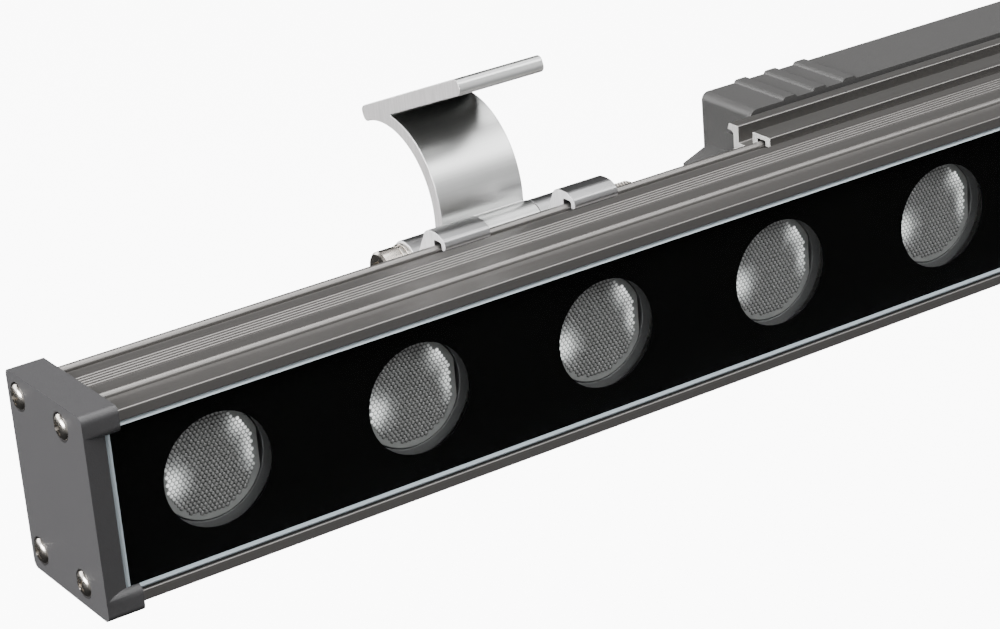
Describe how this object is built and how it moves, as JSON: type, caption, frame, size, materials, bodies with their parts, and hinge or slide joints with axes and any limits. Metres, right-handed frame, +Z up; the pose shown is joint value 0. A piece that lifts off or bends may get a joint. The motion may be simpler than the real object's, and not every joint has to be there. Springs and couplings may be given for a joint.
{
  "type": "outdoor wall washer light",
  "caption": "Linear outdoor wall washer light with lenses behind glass, tilting clip brackets and a driver on the back.",
  "frame": {"origin": "middle of the left arm's wall hole, on the flange's outer face", "axes": "+X along the lamp from left to right as seen from in front, +Y from the glass to the back, +Z up"},
  "size_m": [0.612, 0.0791, 0.0783],
  "materials": {
    "anodised_housing": "warm grey anodised, satin",
    "cap_coat": "dark grey powder coat, satin",
    "black_rubber": "matte",
    "stainless": "turned stainless steel",
    "clear_glass": "clear toughened glass",
    "black_print": "black ceramic print",
    "grey_silicone": "soft matte",
    "board_white": "white solder mask",
    "led_phosphor": "phosphor under clear silicone",
    "clear_optic": "clear moulded optic",
    "holder_grey": "moulded",
    "connector_white": "moulded",
    "rail_grey": "anodised, saw-cut ends",
    "driver_grey": "mid-grey powder coat",
    "board_green": "green solder mask",
    "winding_tape": "taped winding",
    "black_sleeve": "shrunk sleeve",
    "copper_winding": "enamelled copper wire",
    "black_moulding": "moulded",
    "connector_green": "moulded",
    "black_nylon": "moulded nylon",
    "silver_extrusion": "bright satin extrusion"
  },
  "bodies": {
    "arms": {"arm_left": "silver_extrusion", "arm_right": "silver_extrusion"},
    "clips": {"clip_left": "silver_extrusion", "clip_right": "silver_extrusion", "clamp_screws": "stainless", "spring_washers": "stainless", "flat_washers": "stainless"},
    "lamp": {"housing": "anodised_housing", "cap_left": "cap_coat", "cap_right": "cap_coat", "cap_gaskets": "black_rubber", "cap_screws_left": "stainless", "cap_screws_right": "stainless", "front_glass": "clear_glass", "glass_print": "black_print", "glass_seal": "grey_silicone", "light_board": "board_white", "leds": "led_phosphor", "lenses": "clear_optic", "lens_holders": "holder_grey", "board_screws": "stainless", "board_terminal": "connector_white", "driver_rail": "rail_grey", "rail_screws": "stainless", "driver_plate": "driver_grey", "driver_gasket": "black_rubber", "driver_case": "driver_grey", "case_screws": "stainless", "driver_board": "board_green", "transformer": "winding_tape", "capacitors": "black_sleeve", "driver_choke": "copper_winding", "power_switches": "black_moulding", "driver_terminals": "connector_green", "gland_bodies": "black_nylon", "gland_nuts": "black_nylon", "gland_seals": "black_rubber"}
  },
  "joints": [
    {"name": "lamp_tilt", "type": "hinge", "parent": "arms", "child": "clips", "pos_m": [0.1734, -0.00346, -0.03767], "axis": [1, 0, 0], "range_deg": [-55, 130]},
    {"name": "lamp_slide", "type": "slide", "parent": "clips", "child": "lamp", "axis": [1, 0, 0], "range_m": [-0.025, 0.025]}
  ]
}
